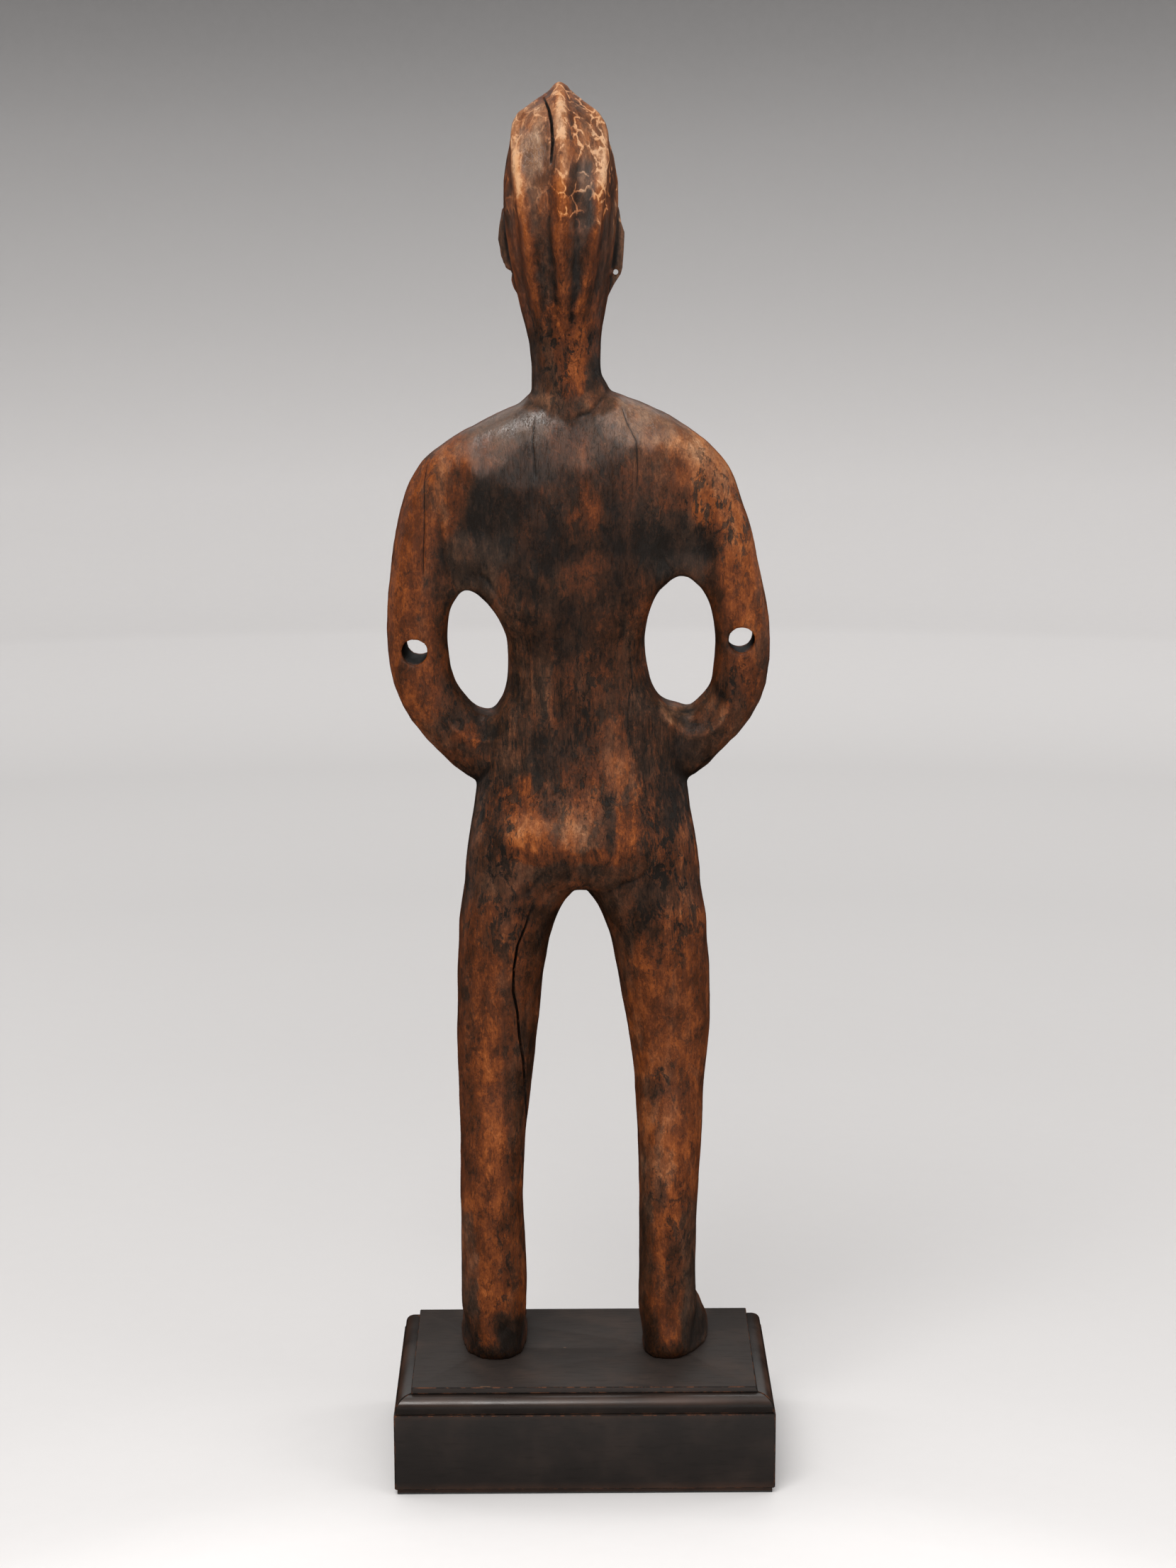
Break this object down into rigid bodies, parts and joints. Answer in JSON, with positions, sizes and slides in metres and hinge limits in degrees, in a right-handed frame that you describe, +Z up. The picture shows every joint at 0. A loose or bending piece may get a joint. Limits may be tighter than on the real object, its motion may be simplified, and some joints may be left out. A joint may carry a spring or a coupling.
{
  "type": "carved ancestor figure",
  "caption": "Tall standing human figure carved from one piece of wood, arms bent with hands on the belly, pinned to a moulded rectangular display plinth.",
  "frame": {"origin": "centre of the felt underside of the plinth, on the surface it stands on", "axes": "+Z up through the head; +Y out of the figure's back; +X to the figure's own left; the figure faces -Y"},
  "size_m": [0.2426, 0.152, 0.8767],
  "materials": {
    "carved_wood": "satin, worn dark patina over red-brown hardwood",
    "ebonised_wood": "satin ebonised hardwood",
    "raw_wood": "raw sawn softwood",
    "felt": "black felt",
    "steel": "zinc plated",
    "brass": "satin"
  },
  "bodies": {
    "base": {"felt_sheet": "felt", "bottom_cover": "ebonised_wood", "plinth_board_back": "ebonised_wood", "plinth_board_front": "ebonised_wood", "plinth_board_left": "ebonised_wood", "plinth_board_right": "ebonised_wood", "moulding_back": "ebonised_wood", "moulding_front": "ebonised_wood", "moulding_left": "ebonised_wood", "moulding_right": "ebonised_wood", "core_board": "raw_wood", "top_board": "ebonised_wood", "corner_block_1": "raw_wood", "corner_block_2": "raw_wood", "corner_block_3": "raw_wood", "corner_block_4": "raw_wood", "cover_screw_1": "brass", "cover_screw_2": "brass", "cover_screw_3": "brass", "cover_screw_4": "brass", "mounting_pin_left": "steel", "mounting_pin_right": "steel", "pin_washer_left": "steel", "pin_washer_right": "steel", "pin_nut_left": "steel", "pin_nut_right": "steel"},
    "figure": {"carved_figure": "carved_wood"}
  },
  "joints": [
    {"name": "figure_lift", "type": "slide", "parent": "base", "child": "figure", "axis": [0, 0, 1], "range_m": [0, 0.06]}
  ]
}
